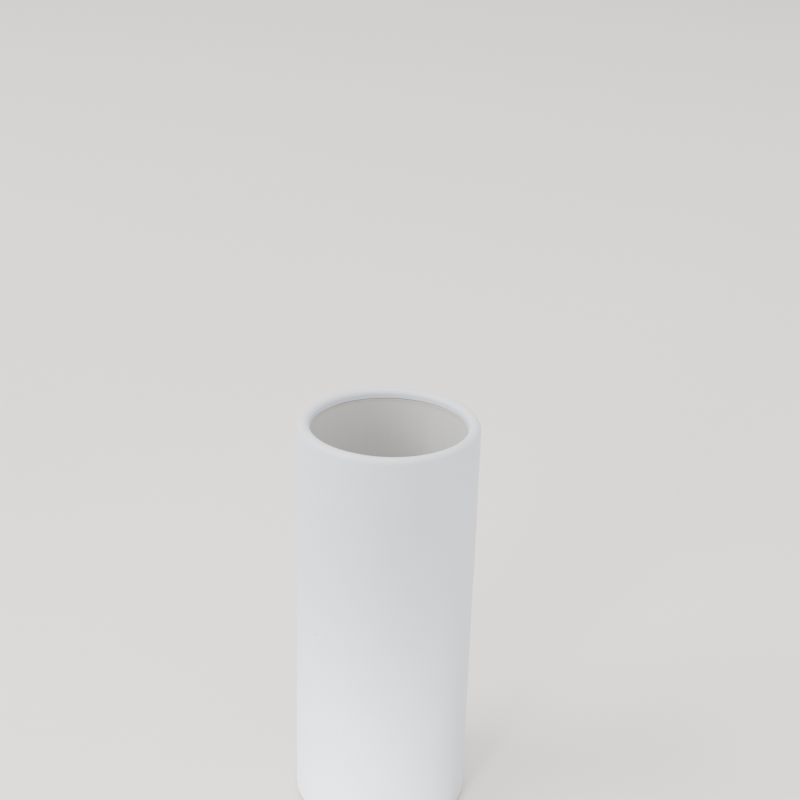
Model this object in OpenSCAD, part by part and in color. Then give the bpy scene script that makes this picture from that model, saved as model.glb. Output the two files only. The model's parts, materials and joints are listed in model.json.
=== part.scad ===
// Straight cylindrical vase for cut flowers.
// A slip-cast stoneware body carries three separate coats of glaze: a satin one outside and over
// the rim, a glossy liner that makes the cavity hold water, and one in the recess underneath.
// Millimetres, +Z up. The origin is the centre of the foot, on the surface the vase stands on.

/* [Body] */
// Outside diameter over the glaze
body_d = 127; // [100:1:200]
// Overall height, from the foot to the crest of the rim
body_h = 302; // [120:1:500]
// Thickness of the finished wall, with the glaze on both sides
wall_t = 8.5; // [6:0.5:12]
// Height of the finished cavity floor above the table
floor_h = 12; // [10:0.5:20]
// Radius of the fillet between the cavity's wall and floor
cavity_fillet_r = 10; // [4:1:20]

/* [Foot] */
// Radius of the rounded corner outside the foot
foot_corner_r = 1.5; // [1:0.5:5]
// Width of the flat ring that the vase stands on
foot_ring_w = 7; // [4:0.5:12]
// Depth of the finished recess inside the ring
recess_h = 3; // [2:0.5:5]
// Radius of the fillet around the recess
recess_fillet_r = 1.5; // [0.5:0.5:1.5]

/* [Glaze] */
// Thickness of every coat of glaze
glaze_t = 0.6; // [0.3:0.1:0.8]
// Height of the clay that is wiped bare above the table, outside the foot
bare_outside_h = 2; // [1.5:0.5:5]
// Height of the clay that is wiped bare above the table, inside the foot
bare_inside_h = 1; // [0.5:0.1:1.2]
// Depth below the crest of the rim at which the outer glaze ends inside the mouth
lip_glaze_h = 6.5; // [5:0.5:20]
// Bare gap where the outer glaze and the liner glaze meet
glaze_gap = 0.6; // [0.1:0.1:1]

/* [Hidden] */
$fn = 144;
clay_colour = "#bfae98";
outer_glaze_colour = "#e8ebf0";
liner_glaze_colour = "#d9d6d1";
base_glaze_colour = "#dddbd8";
body_r = body_d / 2;
cavity_r = body_r - wall_t;
rim_r = wall_t / 2;
rim_centre_r = body_r - rim_r;
foot_flat_r = body_r - glaze_t - foot_corner_r;  // outside of the flat ring
recess_r = foot_flat_r - foot_ring_w - glaze_t;
mid_floor_h = (floor_h + recess_h) / 2;
spare = 1;  // how far a cutting shape runs past what it cuts

// Half of the wall's section, rounded over at the rim. The glazed faces lie `inset` inside the
// finished ones, so 0 gives the finished wall and glaze_t the bare clay.
module wall_section(inset) {
    translate([cavity_r + inset, foot_corner_r])
        square([wall_t - 2 * inset, body_h - rim_r - foot_corner_r]);
    translate([rim_centre_r, body_h - rim_r])
        circle(rim_r - inset);
}

// Half of the floor's section with its rounded outer corner, before the recess is cut.
module floor_section(inset) {
    outer_r = body_r - inset;
    square([outer_r - foot_corner_r, foot_corner_r]);
    translate([outer_r - foot_corner_r, foot_corner_r])
        circle(foot_corner_r);
    translate([0, foot_corner_r])
        square([outer_r, floor_h - inset - foot_corner_r]);
}

// The fillet between the cavity's wall and floor.
module cavity_fillet_section(inset) {
    reach = cavity_fillet_r + inset;
    centre = [cavity_r - cavity_fillet_r, floor_h + cavity_fillet_r];
    difference() {
        translate([centre[0], centre[1] - reach])
            square(reach);
        translate(centre)
            circle(reach);
    }
}

// The hollow inside the foot ring, with its fillet. It grows by `inset`.
module recess_section(inset) {
    reach = recess_fillet_r + inset;
    centre = [recess_r - recess_fillet_r, recess_h - recess_fillet_r];
    translate([0, -spare])
        square([centre[0], recess_h + inset + spare]);
    translate([0, -spare])
        square([centre[0] + reach, centre[1] + spare]);
    translate(centre)
        circle(reach);
}

module body_section(inset) {
    wall_section(inset);
    difference() {
        union() {
            floor_section(inset);
            cavity_fillet_section(inset);
        }
        recess_section(inset);
    }
}

// The layer between the clay and the finished surface, over the whole body.
module glaze_section() {
    difference() {
        body_section(0);
        body_section(glaze_t);
    }
}

// The fired stoneware body, bare only where it meets the table and at the gap inside the mouth.
module clay_body() {
    color(clay_colour)
        rotate_extrude()
            body_section(glaze_t);
}

// Satin white glaze, from just above the table, up the wall, over the rim and into the mouth.
module outer_glaze() {
    color(outer_glaze_colour)
        rotate_extrude()
            intersection() {
                glaze_section();
                union() {
                    translate([rim_centre_r, bare_outside_h])
                        square([rim_r + spare, body_h]);
                    translate([cavity_r - spare, body_h - lip_glaze_h])
                        square([rim_r + spare, lip_glaze_h + spare]);
                }
            }
}

// Glossy white liner glaze, over the cavity's wall, fillet and floor.
module liner_glaze() {
    color(liner_glaze_colour)
        rotate_extrude()
            intersection() {
                glaze_section();
                translate([0, mid_floor_h])
                    square([rim_centre_r, body_h - lip_glaze_h - glaze_gap - mid_floor_h]);
            }
}

// Glaze in the recess under the floor, wiped back from the foot ring.
module base_glaze() {
    color(base_glaze_colour)
        rotate_extrude()
            intersection() {
                glaze_section();
                translate([0, bare_inside_h])
                    square([recess_r + glaze_t, mid_floor_h - bare_inside_h]);
            }
}

clay_body();
outer_glaze();
liner_glaze();
base_glaze();
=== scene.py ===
import json
from math import cos, radians, sin, tau
import bmesh
import bpy
from mathutils import Matrix, Vector

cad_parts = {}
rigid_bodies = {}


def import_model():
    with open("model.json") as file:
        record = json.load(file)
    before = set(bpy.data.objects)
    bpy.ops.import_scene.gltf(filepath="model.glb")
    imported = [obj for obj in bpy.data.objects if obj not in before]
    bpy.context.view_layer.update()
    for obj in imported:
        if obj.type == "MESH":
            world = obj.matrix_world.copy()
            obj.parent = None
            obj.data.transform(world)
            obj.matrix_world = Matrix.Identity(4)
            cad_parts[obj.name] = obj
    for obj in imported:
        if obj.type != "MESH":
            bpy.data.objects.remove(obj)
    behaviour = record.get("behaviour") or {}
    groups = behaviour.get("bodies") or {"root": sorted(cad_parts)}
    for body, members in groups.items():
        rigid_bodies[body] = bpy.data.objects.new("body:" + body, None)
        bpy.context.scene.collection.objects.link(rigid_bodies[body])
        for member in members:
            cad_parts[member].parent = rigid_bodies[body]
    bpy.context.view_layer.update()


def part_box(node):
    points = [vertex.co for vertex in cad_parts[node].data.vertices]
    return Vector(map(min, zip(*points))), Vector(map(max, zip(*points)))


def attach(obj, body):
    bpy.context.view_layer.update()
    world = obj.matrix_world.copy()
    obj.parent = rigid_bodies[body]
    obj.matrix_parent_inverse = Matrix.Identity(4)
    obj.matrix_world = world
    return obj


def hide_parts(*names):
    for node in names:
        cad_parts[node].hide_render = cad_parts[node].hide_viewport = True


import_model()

bpy.ops.object.select_all(action="DESELECT")


# ------------------------------------------------------------------ Camera
# The camera stands a little over a metre in front of the vase, above its mouth, and looks down
# at it. It is turned very slightly about its own line of sight.
camera_place = (0.00688, -0.95116, 0.72715)
looking_down = 23.286
camera_tilt = radians(90 - looking_down)
camera_roll = radians(1.722)

bpy.ops.object.camera_add(location=camera_place)
camera = bpy.context.object
camera.name = "camera"
camera.matrix_world = (
    Matrix.Translation(camera_place)
    @ Matrix.Rotation(camera_tilt, 4, "X")
    @ Matrix.Rotation(camera_roll, 4, "Z")
)
camera.data.lens = 68.07
camera.data.sensor_width = 36
camera.data.clip_start = 0.05
camera.data.clip_end = 100
bpy.context.scene.camera = camera


# --------------------------------------------------------------- Clay body
# The body is buff stoneware, slip cast in one piece: wall, rim, floor and foot ring. Its foot
# ring is sanded level. It stays bare there, where it is nearly flush with the glaze above it, and
# in a hairline gap inside the mouth.
mm = 0.001
clay_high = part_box("clay_body")[1]
vase_low, vase_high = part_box("outer_glaze")
liner_low, liner_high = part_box("liner_glaze")
recess_low, recess_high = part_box("base_glaze")
vase_r = vase_high.x
vase_h = vase_high.z
clay_r = clay_high.x
coat = vase_r - clay_r
cavity_side = liner_high.x
cavity_r = cavity_side - coat
cavity_floor = liner_low.z + coat
cavity_fillet = 10 * mm
cavity_at = (cavity_r - cavity_fillet, cavity_floor + cavity_fillet)
rim_round = (vase_r - cavity_r) / 2
rim_at = (vase_r - rim_round, vase_h - rim_round)
foot_r = vase_r - 0.15 * mm
foot_top = vase_low.z + 0.2 * mm
under_glaze = foot_top + 0.4 * mm
corner = 1.2 * mm
corner_at = (foot_r - corner, corner)
recess_side = recess_high.x
recess_fillet = 1.5 * mm
recess_at = (recess_side - coat - recess_fillet, recess_high.z - coat - recess_fillet)
foot_edge = 0.5 * mm


def arc(centre, radius, start, end, count):
    """Points round part of a circle in the outline, from one angle to another in degrees."""
    turns = [radians(start + (end - start) * i / count) for i in range(count + 1)]
    return [(centre[0] + radius * cos(t), centre[1] + radius * sin(t)) for t in turns]


def run(start, end, step):
    """Points along a straight part of the outline about a step apart, without its two ends."""
    across, up = end[0] - start[0], end[1] - start[1]
    count = max(1, round((across ** 2 + up ** 2) ** 0.5 / step))
    return [(start[0] + across * i / count, start[1] + up * i / count) for i in range(1, count)]


def turned(name, outline, sides=192):
    """A closed solid turned about the vase's axis from the points of its outline."""
    bpy.ops.object.select_all(action="DESELECT")
    first = outline[0]
    bpy.ops.mesh.primitive_plane_add(size=mm, location=(first[0], 0, first[1]))
    piece = bpy.context.object
    piece.name = name
    piece.data.name = name
    bpy.ops.object.mode_set(mode="EDIT")
    bpy.ops.mesh.select_mode(type="VERT")
    bpy.ops.mesh.merge(type="CENTER")
    for last, point in zip(outline, outline[1:]):
        move = (point[0] - last[0], 0, point[1] - last[1])
        bpy.ops.mesh.extrude_vertices_move(TRANSFORM_OT_translate={"value": move})
    bpy.ops.mesh.select_all(action="SELECT")
    bpy.ops.mesh.spin(steps=sides, angle=tau, center=(0, 0, 0), axis=(0, 0, 1))
    bpy.ops.mesh.select_all(action="SELECT")
    bpy.ops.mesh.remove_doubles(threshold=0.004 * mm)
    bpy.ops.mesh.normals_make_consistent(inside=False)
    bpy.ops.object.mode_set(mode="OBJECT")
    bpy.ops.object.transform_apply(location=True, rotation=True, scale=True)
    bpy.ops.object.shade_smooth()
    return piece


class Value:
    """A number that changes over a surface. Arithmetic on it adds Math nodes."""

    def __init__(self, finish, socket):
        self.finish = finish
        self.socket = socket

    def maths(self, operation, first, second):
        return self.finish.node("ShaderNodeMath", {"operation": operation}, {0: first, 1: second})

    def __add__(self, other):
        return self.maths("ADD", self, other)

    def __radd__(self, other):
        return self.maths("ADD", other, self)

    def __sub__(self, other):
        return self.maths("SUBTRACT", self, other)

    def __rsub__(self, other):
        return self.maths("SUBTRACT", other, self)

    def __mul__(self, other):
        return self.maths("MULTIPLY", self, other)

    def __rmul__(self, other):
        return self.maths("MULTIPLY", other, self)


class Finish:
    """A procedural finish: one Principled shader and the nodes that vary it over a surface."""

    def __init__(self, name, ior):
        self.material = bpy.data.materials.new(name)
        self.material.use_nodes = True
        self.tree = self.material.node_tree
        self.shader = self.tree.nodes["Principled BSDF"]
        self.shader.inputs["IOR"].default_value = ior
        self.place = self.node("ShaderNodeTexCoord", {}, {}, "Object")
        self.height = self.node("ShaderNodeSeparateXYZ", {}, {0: self.place}, "Z")

    def node(self, kind, settings, inputs, output=0):
        """Adds a node, with its settings and the values or links of its sockets."""
        made = self.tree.nodes.new(kind)
        for name, setting in settings.items():
            setattr(made, name, setting)
        for name, value in inputs.items():
            if isinstance(value, Value):
                self.tree.links.new(value.socket, made.inputs[name])
            else:
                made.inputs[name].default_value = value
        return Value(self, made.outputs[output])

    def spread(self, stretch, shift):
        """The piece's own coordinates, stretched up and down and shifted, to lay a pattern on."""
        return self.node("ShaderNodeMapping", {}, {
            "Vector": self.place, "Location": (shift, shift, shift), "Scale": (1, 1, 1 / stretch),
        })

    def noise(self, size, detail=2, stretch=1, shift=0):
        """Smooth noise from 0 to 1, with features of about a size in metres."""
        return self.node("ShaderNodeTexNoise", {}, {
            "Vector": self.spread(stretch, shift), "Scale": 1 / size, "Detail": detail,
        })

    def specks(self, apart, width, share, shift=0):
        """Round specks, 1 in their middle: how far apart and wide they may be, and how many."""
        cells = {"Vector": self.spread(1, shift), "Scale": 1 / apart}
        near = self.node("ShaderNodeTexVoronoi", {}, cells)
        lot = self.node("ShaderNodeSeparateColor", {}, {
            0: self.node("ShaderNodeTexVoronoi", {}, cells, "Color"),
        })
        reach = width / apart / 2
        return self.step(near, reach, 0.4 * reach) * self.step(lot, share + 0.01, share)

    def step(self, value, low, high):
        """0 where a value is `low` and 1 where it is `high`, changing smoothly in between."""
        return self.node("ShaderNodeMapRange", {"interpolation_type": "SMOOTHSTEP"},
                         {0: value, 1: low, 2: high, 3: 0.0, 4: 1.0})

    def mix(self, share, first, second):
        """One colour changing to another, by a share from 0 to 1."""
        return self.node("ShaderNodeMix", {"data_type": "RGBA"}, {0: share, 6: first, 7: second}, 2)

    def coat(self, piece, colour, roughness, relief, depth):
        """Plugs the surface into the shader and puts the finish on a piece."""
        bump = self.node("ShaderNodeBump", {}, {"Height": relief, "Distance": depth, "Strength": 1})
        plugs = {"Base Color": colour, "Roughness": roughness, "Normal": bump}
        for name, value in plugs.items():
            self.tree.links.new(value.socket, self.shader.inputs[name])
        piece.data.materials.append(self.material)


clay_outline = [
    (0, recess_high.z),
    *run((0, recess_high.z), (recess_at[0], recess_high.z), 5 * mm),
    *arc(recess_at, recess_fillet + coat, 90, 0, 6),
    *arc((recess_side + foot_edge, foot_edge), foot_edge, 180, 270, 5),
    *run((recess_side + foot_edge, 0), (corner_at[0], 0), 0.6 * mm),
    *arc(corner_at, corner, 270, 360, 12),
    (foot_r, (corner + foot_top) / 2),
    (foot_r, foot_top),
    (clay_r, under_glaze),
    *run((clay_r, under_glaze), (clay_r, rim_at[1]), 15 * mm),
    *arc(rim_at, rim_round - coat, 0, 180, 18),
    *run((cavity_side, rim_at[1]), (cavity_side, cavity_at[1]), 15 * mm),
    *arc(cavity_at, cavity_fillet + coat, 0, -90, 8),
    *run((cavity_at[0], liner_low.z), (0, liner_low.z), 5 * mm),
    (0, liner_low.z),
]
clay = turned("vase_clay", clay_outline)

bare = Finish("bare_stoneware", 1.45)
grain = bare.noise(0.8 * mm, 4)
fired = bare.noise(14 * mm, 3, shift=5)
iron = bare.specks(2.2 * mm, 0.7 * mm, 0.55)
grog = bare.specks(1.4 * mm, 0.8 * mm, 0.6, shift=9)
# The sanded flat of the ring has picked up a grey bloom from the tables that it is slid across.
scuffed = bare.step(bare.height, 0.35 * mm, 0) * bare.step(bare.noise(5 * mm, 3, shift=2), 0.3, 0.7)
# The bare band of the foot, from just above the table up to the glaze, is darkened to a deep brown:
# painted contact shade where the foot meets the table.
foot_contact_shade = bare.step(bare.height, 0.1 * mm, 0.7 * mm) * bare.step(bare.height, 3 * mm, 2.4 * mm)
body_colour = bare.mix(fired, (0.40, 0.315, 0.225, 1), (0.53, 0.435, 0.33, 1))
body_colour = bare.mix(grain * 0.45, body_colour, (0.61, 0.525, 0.42, 1))
body_colour = bare.mix(grog * 0.6, body_colour, (0.82, 0.77, 0.69, 1))
body_colour = bare.mix(iron * 0.8, body_colour, (0.15, 0.095, 0.06, 1))
# Painted contact shade: the bare foot band just above the table is mixed towards a deep brown.
body_colour = bare.mix(foot_contact_shade * 0.85, body_colour, (0.17, 0.12, 0.078, 1))
body_colour = bare.mix(scuffed * 0.55, body_colour, (0.42, 0.39, 0.355, 1))
bare.coat(
    clay,
    colour=body_colour,
    roughness=0.92 - scuffed * 0.25 + grain * 0.06,
    relief=grain + grog * 0.4 - iron * 0.4,
    depth=0.10 * mm,
)
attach(clay, "root")
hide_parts("clay_body")


# ------------------------------------------------------------- Outer glaze
# The outside is sprayed with a satin white glaze that runs over the rim and a little way into the
# mouth. It is wiped off just above the table, where it draws up into a thin rounded roll.
roll = 0.42 * mm
foot_roll_at = (vase_r - 0.38 * mm, vase_low.z + roll)
lip_edge = vase_h - 6.5 * mm
lip_roll_r = cavity_r + 0.27 * mm
lip_roll_at = (lip_roll_r, lip_edge + roll)
mesh_step = 2 * mm
foot_shrink = 0.18 * mm
foot_shrink_h = 0.42 * vase_h
foot_thin = 0.11 * mm
foot_thin_h = 4.4 * mm
foot_thin_reach = 6 * mm
above_roll = 8.5 * mm


def cast_r(z):
    """The outside radius at a height: the casting shrank a little more towards its foot."""
    low = max(0, 1 - z / foot_shrink_h)
    return vase_r - foot_shrink * low ** 2 * (3 - 2 * low)


def wall_r(z):
    """The glaze's face: it has drawn a little thinner just above the roll at the foot."""
    return cast_r(z) - foot_thin * max(0, 1 - abs(z - foot_thin_h) / foot_thin_reach) ** 2


def uneven(piece, grain, depth, along, weight, stretch=1):
    """Moves a surface in and out by smooth noise; `weight` says how much, from 0 to 1."""
    group = piece.vertex_groups.new(name="uneven")
    for vertex in piece.data.vertices:
        share = weight(vertex.co.xy.length, vertex.co.z)
        if share > 0:
            group.add([vertex.index], min(1, share), "REPLACE")
    bpy.ops.object.empty_add(location=(0, 0, 0))
    origin = bpy.context.object
    origin.scale.z = stretch
    bpy.context.view_layer.objects.active = piece
    noise = bpy.data.textures.new("uneven", "CLOUDS")
    noise.noise_scale = grain
    noise.noise_depth = 1
    swell = piece.modifiers.new("uneven", "DISPLACE")
    swell.texture = noise
    swell.texture_coords = "OBJECT"
    swell.texture_coords_object = origin
    swell.direction = along
    swell.strength = depth
    swell.mid_level = 0.5
    swell.vertex_group = group.name
    bpy.context.view_layer.update()
    bpy.ops.object.modifier_apply(modifier=swell.name)
    piece.vertex_groups.clear()
    bpy.data.objects.remove(origin)


outer_outline = [
    *arc(foot_roll_at, roll, -155, 55, 9),
    *[(wall_r(z * mm), z * mm) for z in (3.2, 3.8, 4.6, 5.6, 7)],
    (wall_r(above_roll), above_roll),
    *[(wall_r(z), z) for _, z in run((0, above_roll), (0, rim_at[1]), mesh_step)],
    *arc(rim_at, rim_round, 0, 180, 26),
    (cavity_r - 0.01 * mm, lip_edge + 1.6 * mm),
    (cavity_r - 0.04 * mm, lip_edge + 1.1 * mm),
    *arc(lip_roll_at, roll, 150, 320, 8),
    (cavity_side, rim_at[1]),
    *arc(rim_at, rim_round - coat, 180, 0, 10)[1:],
    *run((clay_r, rim_at[1]), (clay_r, foot_roll_at[1] + roll), 20 * mm),
    (clay_r, foot_roll_at[1] + roll),
]
outer_outline.append(outer_outline[0])
outer = turned("vase_outer_glaze", outer_outline)

outside = clay_r + 0.1 * mm
uneven(outer, 55 * mm, 0.6 * mm, "NORMAL",
       lambda r, z: min(1, (z - 3 * mm) / (25 * mm), (vase_h - z) / (20 * mm)) * (r > outside))
uneven(outer, 17 * mm, 0.12 * mm, "NORMAL",
       lambda r, z: min(1, (z - 3 * mm) / (12 * mm), (vase_h - z) / (8 * mm)) * (r > outside))
uneven(outer, 40 * mm, 0.35 * mm, "Z", lambda r, z: (z - rim_at[1]) / rim_round)
uneven(outer, 15 * mm, 0.5 * mm, "Z", lambda r, z: 1 - z / (5 * mm))
uneven(outer, 13 * mm, 0.5 * mm, "Z",
       lambda r, z: (1 - (z - lip_edge) / (4 * mm)) * (r < cavity_side + 0.1 * mm))

satin = Finish("satin_white_glaze", 1.5)
mottle = satin.noise(42 * mm, 3)
cloud = satin.noise(9 * mm, 3, shift=4)
eggshell = satin.noise(0.9 * mm, 2, shift=6)
peel = satin.noise(2.0 * mm, 1, shift=1)
ripple = satin.noise(8 * mm, 1, stretch=1.6, shift=7)
pinholes = satin.specks(4.2 * mm, 0.5 * mm, 0.6, shift=3)
dust = satin.specks(3.6 * mm, 0.3 * mm, 0.3, shift=8)
# Glaze draws thin over the crest of the rim and just above the roll at the foot.
crest = satin.step(satin.height + (cloud - 0.5) * (1.2 * mm), vase_h - 1.5 * mm, vase_h + 0.4 * mm)
foot = satin.step(satin.height + (cloud - 0.5) * (2 * mm), 6.5 * mm, 2.6 * mm)
white = satin.mix(mottle, (0.730, 0.778, 0.866, 1), (0.812, 0.856, 0.936, 1))
white = satin.mix(cloud * 0.25, white, (0.83, 0.84, 0.85, 1))
white = satin.mix(crest * 0.55, white, (0.77, 0.72, 0.64, 1))
white = satin.mix(foot * 0.5, white, (0.78, 0.73, 0.65, 1))
white = satin.mix(pinholes * 0.6, white, (0.40, 0.35, 0.29, 1))
white = satin.mix(dust * 0.6, white, (0.28, 0.23, 0.19, 1))
satin.coat(
    outer,
    colour=white,
    roughness=0.35 + mottle * 0.10 + eggshell * 0.10 + pinholes * 0.2,
    relief=eggshell * 0.35 + peel * 0.6 + ripple * 1.4 - pinholes * 0.8,
    depth=0.12 * mm,
)

stain = Finish("iron_stained_pit", 1.5)
stained = stain.noise(0.4 * mm, 2)
stain.coat(
    outer,
    colour=stain.mix(stained, (0.20, 0.15, 0.11, 1), (0.45, 0.40, 0.34, 1)),
    roughness=0.6 + stained * 0.2,
    relief=stained,
    depth=0.05 * mm,
)


def choose(piece, at):
    """Selects the one face whose middle is nearest to a point, and says where that is."""
    shape = bmesh.from_edit_mesh(piece.data)
    nearest = min(shape.faces, key=lambda f: (f.calc_center_median() - at).length_squared)
    for face in shape.faces:
        face.select_set(face == nearest)
    middle = nearest.calc_center_median()
    shape.select_flush_mode()
    bmesh.update_edit_mesh(piece.data)
    return middle


# Turn about the axis in degrees, and height, width and depth in millimetres, of the pits that gas
# left in the glaze. Each is a small face of the wall, cut round and sunk in two steps.
pits = [
    (-138.3, 154.2, 1.30, 0.28), (-143.2, 150.7, 0.70, 0.15), (-119.8, 83.4, 0.80, 0.18),
    (-113.2, 158.7, 0.60, 0.15), (-46.9, 35.6, 0.75, 0.18), (-12.0, 214.0, 0.60, 0.18),
    (31.0, 96.0, 0.90, 0.25), (78.0, 247.0, 0.60, 0.18), (104.0, 61.0, 0.75, 0.18),
    (151.0, 188.0, 0.60, 0.15), (-172.0, 42.0, 0.65, 0.15),
]
bpy.ops.object.select_all(action="DESELECT")
outer.select_set(True)
bpy.context.view_layer.objects.active = outer
outer.active_material_index = 1
bpy.ops.object.mode_set(mode="EDIT")
bpy.ops.mesh.select_mode(type="FACE")
for turn, height, width, depth in pits:
    out = cast_r(height * mm)
    at = Vector((out * cos(radians(turn)), out * sin(radians(turn)), height * mm))
    at = choose(outer, at)
    width, depth = width * mm, depth * mm
    side = 1.35 * width
    bpy.ops.mesh.inset(thickness=(mesh_step - side) / 2)
    bpy.ops.mesh.bevel(offset=0.29 * side, affect="VERTICES")
    choose(outer, at)
    bpy.ops.mesh.inset(thickness=0.14 * width)
    bpy.ops.mesh.inset(thickness=0.12 * width, depth=-0.6 * depth)
    bpy.ops.mesh.inset(thickness=0.14 * width, depth=-0.4 * depth)
    bpy.ops.mesh.select_more()
    bpy.ops.object.material_slot_assign()
bpy.ops.object.mode_set(mode="OBJECT")
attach(outer, "root")
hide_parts("outer_glaze")


# ------------------------------------------------------------- Liner glaze
# The inside is lined with a glossy white glaze that is poured in and poured out, so that the
# cavity holds water. It has run down the wall in faint ribs and gathered in the fillet.
liner_roll_at = (lip_roll_r, liner_high.z - roll)
liner_outline = [
    (0, cavity_floor),
    *run((0, cavity_floor), (cavity_at[0], cavity_floor), 2.5 * mm),
    *arc(cavity_at, cavity_fillet, -90, 0, 12),
    *run((cavity_r, cavity_at[1]), (cavity_r, liner_high.z - 1.8 * mm), 2.5 * mm),
    (cavity_r - 0.01 * mm, liner_high.z - 1.6 * mm),
    (cavity_r - 0.04 * mm, liner_high.z - 1.1 * mm),
    *arc(liner_roll_at, roll, 210, 40, 8),
    *run((cavity_side, liner_high.z - 0.3 * mm), (cavity_side, cavity_at[1]), 20 * mm),
    *arc(cavity_at, cavity_fillet + coat, 0, -90, 8),
    *run((cavity_at[0], liner_low.z), (0, liner_low.z), 8 * mm),
    (0, liner_low.z),
]
liner = turned("vase_liner_glaze", liner_outline)

inside = cavity_side - 0.2 * mm
uneven(liner, 11 * mm, 0.22 * mm, "NORMAL",
       lambda r, z: min(1, (z - cavity_at[1]) / (8 * mm), (liner_high.z - z) / (8 * mm))
       * (r < inside), stretch=9)
uneven(liner, 24 * mm, 0.30 * mm, "Z",
       lambda r, z: min(1, (cavity_at[0] - r) / (10 * mm)) * (z > cavity_floor - 0.2 * mm)
       * (z < cavity_floor + 1 * mm))
uneven(liner, 13 * mm, 0.5 * mm, "Z", lambda r, z: 1 - (liner_high.z - z) / (4 * mm))

gloss = Finish("glossy_liner_glaze", 1.52)
pour = gloss.noise(9 * mm, 3, stretch=9)
runs = gloss.noise(3.2 * mm, 2, stretch=16, shift=11)
wash = gloss.noise(30 * mm, 3, shift=2)
skin = gloss.noise(2.2 * mm, 2, shift=6)
bubbles = gloss.specks(4.5 * mm, 0.6 * mm, 0.6, shift=1)
pooled = gloss.step(gloss.height, cavity_floor + 14 * mm, cavity_floor)
edge = gloss.step(gloss.height + (wash - 0.5) * (2 * mm), liner_high.z - 3.2 * mm,
                  liner_high.z - 0.6 * mm)
cream = gloss.mix(wash, (0.63, 0.62, 0.59, 1), (0.72, 0.71, 0.685, 1))
cream = gloss.mix(pour * 0.5, cream, (0.77, 0.76, 0.735, 1))
cream = gloss.mix(runs * 0.25, cream, (0.60, 0.57, 0.52, 1))
cream = gloss.mix(pooled * 0.5, cream, (0.63, 0.64, 0.62, 1))
cream = gloss.mix(edge * 0.5, cream, (0.62, 0.54, 0.43, 1))
cream = gloss.mix(bubbles * 0.6, cream, (0.38, 0.34, 0.29, 1))
gloss.coat(
    liner,
    colour=cream,
    roughness=0.12 + wash * 0.08 + pour * 0.06,
    relief=skin * 0.15 + pour * 0.8 + runs * 0.3 - bubbles * 0.6,
    depth=0.14 * mm,
)
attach(liner, "root")
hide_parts("liner_glaze")


# -------------------------------------------------------------- Base glaze
# The recess underneath is brushed with the same white glaze, which keeps damp out of the body.
# It is wiped back from the foot ring with a sponge, which leaves a slightly wandering edge.
wiped = 0.3 * mm
wiped_at = (recess_side - coat + wiped, recess_low.z + wiped)
recess_face = recess_high.z - coat
base_outline = [
    (0, recess_face),
    *run((0, recess_face), (recess_at[0], recess_face), 2.5 * mm),
    *arc(recess_at, recess_fillet, 90, 0, 6),
    *arc(wiped_at, wiped, 180, 330, 6),
    *arc(recess_at, recess_fillet + coat, 0, 90, 5),
    *run((recess_at[0], recess_high.z), (0, recess_high.z), 8 * mm),
    (0, recess_high.z),
]
base = turned("vase_base_glaze", base_outline)
uneven(base, 9 * mm, 0.5 * mm, "Z", lambda r, z: 1 - (z - recess_low.z) / (0.5 * mm))
uneven(base, 22 * mm, 0.35 * mm, "Z",
       lambda r, z: min(1, (recess_at[0] - r) / (6 * mm)) * (z < recess_high.z - 0.3 * mm))

brushed = Finish("brushed_base_glaze", 1.5)
blotch = brushed.noise(26 * mm, 3)
stipple = brushed.noise(2.6 * mm, 3, shift=3)
holes = brushed.specks(4.0 * mm, 0.8 * mm, 0.5, shift=5)
around = brushed.node("ShaderNodeVectorMath", {"operation": "LENGTH"}, {
    0: brushed.node("ShaderNodeVectorMath", {"operation": "MULTIPLY"},
                    {0: brushed.place, 1: (1, 1, 0)}),
}, "Value")
rings = brushed.node("ShaderNodeTexNoise", {"noise_dimensions": "1D"},
                     {"W": around + (blotch - 0.5) * (2 * mm), "Scale": 1 / (3.2 * mm), "Detail": 2})
thin = brushed.step(brushed.height + (stipple - 0.5) * (0.8 * mm), recess_low.z + 1.1 * mm,
                    recess_low.z + 0.1 * mm)
dull = brushed.mix(blotch, (0.70, 0.705, 0.70, 1), (0.81, 0.815, 0.81, 1))
dull = brushed.mix(rings * 0.55, dull, (0.64, 0.61, 0.555, 1))
dull = brushed.mix(thin * 0.6, dull, (0.66, 0.57, 0.46, 1))
dull = brushed.mix(holes * 0.7, dull, (0.40, 0.33, 0.26, 1))
brushed.coat(
    base,
    colour=dull,
    roughness=0.32 + blotch * 0.14 + rings * 0.10,
    relief=rings * 0.8 + stipple * 0.35 - holes * 0.6,
    depth=0.18 * mm,
)
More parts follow.
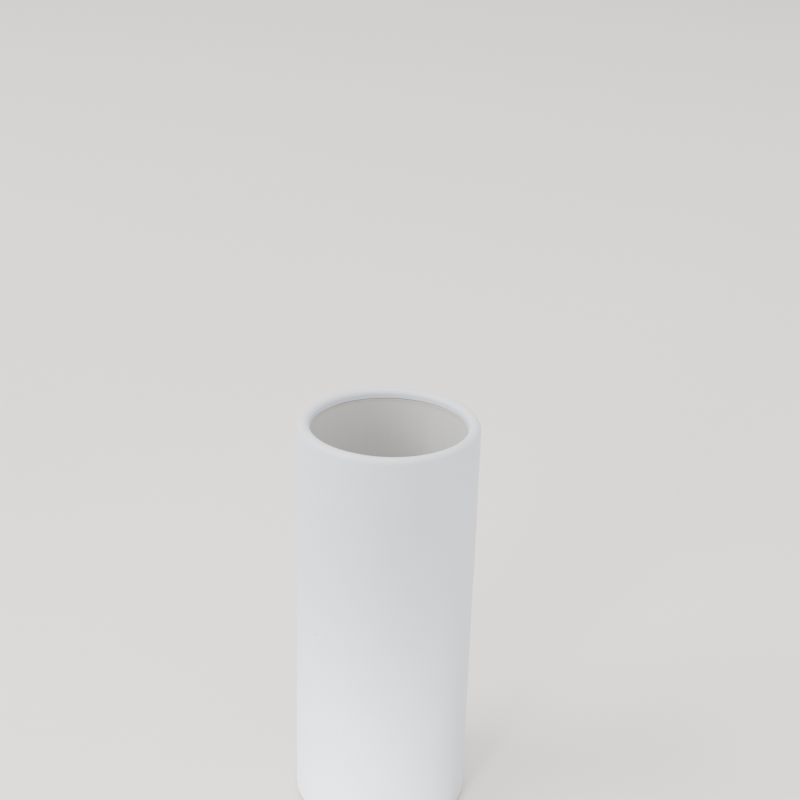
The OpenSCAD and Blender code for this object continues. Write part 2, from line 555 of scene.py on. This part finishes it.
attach(base, "root")
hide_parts("base_glaze")


# ------------------------------------------------------------------- Floor
# The vase stands on a plain pale sheet of painted board that runs on past every side of the view.
board_size = 60
bpy.ops.object.select_all(action="DESELECT")
bpy.ops.mesh.primitive_plane_add(size=board_size, location=(0, 0, 0))
floor = bpy.context.object
floor.name = "floor"
bpy.ops.object.transform_apply(location=True, rotation=True, scale=True)
board = Finish("pale_painted_board", 1.45)
shade = board.noise(0.35, 3)
tooth = board.noise(3 * mm, 2, shift=2)
board.coat(
    floor,
    colour=board.mix(shade, (0.855, 0.805, 0.735, 1), (0.875, 0.825, 0.755, 1)),
    roughness=0.55 + shade * 0.1,
    relief=tooth,
    depth=0.02 * mm,
)


# ------------------------------------------------------------------- Light
# Soft studio light: a pale room all round, a soft box overhead and a larger one on the left, and a
# long low one behind a grid, close to the floor, that lifts the foot of the vase.
room = bpy.data.worlds.new("pale_room")
bpy.context.scene.world = room
room.use_nodes = True
room_light = room.node_tree.nodes["Background"]
room_light.inputs["Color"].default_value = (0.98, 0.98, 1, 1)
room_light.inputs["Strength"].default_value = 1.22


def soft_box(name, side, up, away, aim, size, spread, watts):
    """A soft light at an angle round the vase, a height and a distance, facing a point on it."""
    place = Vector((away * cos(radians(side)), away * sin(radians(side)), up))
    bpy.ops.object.light_add(type="AREA", location=place)
    lamp = bpy.context.object
    lamp.name = name
    lamp.rotation_euler = (Vector((0, 0, aim)) - place).to_track_quat("-Z", "Y").to_euler()
    lamp.visible_camera = False
    lamp.data.shape = "RECTANGLE"
    lamp.data.size, lamp.data.size_y = size
    lamp.data.spread = radians(spread)
    lamp.data.energy = watts
    lamp.data.color = (0.955, 0.98, 1)


soft_box("overhead", side=0, up=6.0, away=0, aim=0, size=(5, 5), spread=180, watts=208)
soft_box("left_box", side=-168, up=4.2, away=4.4, aim=0.15, size=(3.6, 3.6), spread=180, watts=350)
soft_box("low_box", side=-118, up=0.2, away=1.5, aim=-0.03, size=(1.1, 0.14), spread=19, watts=2.0)
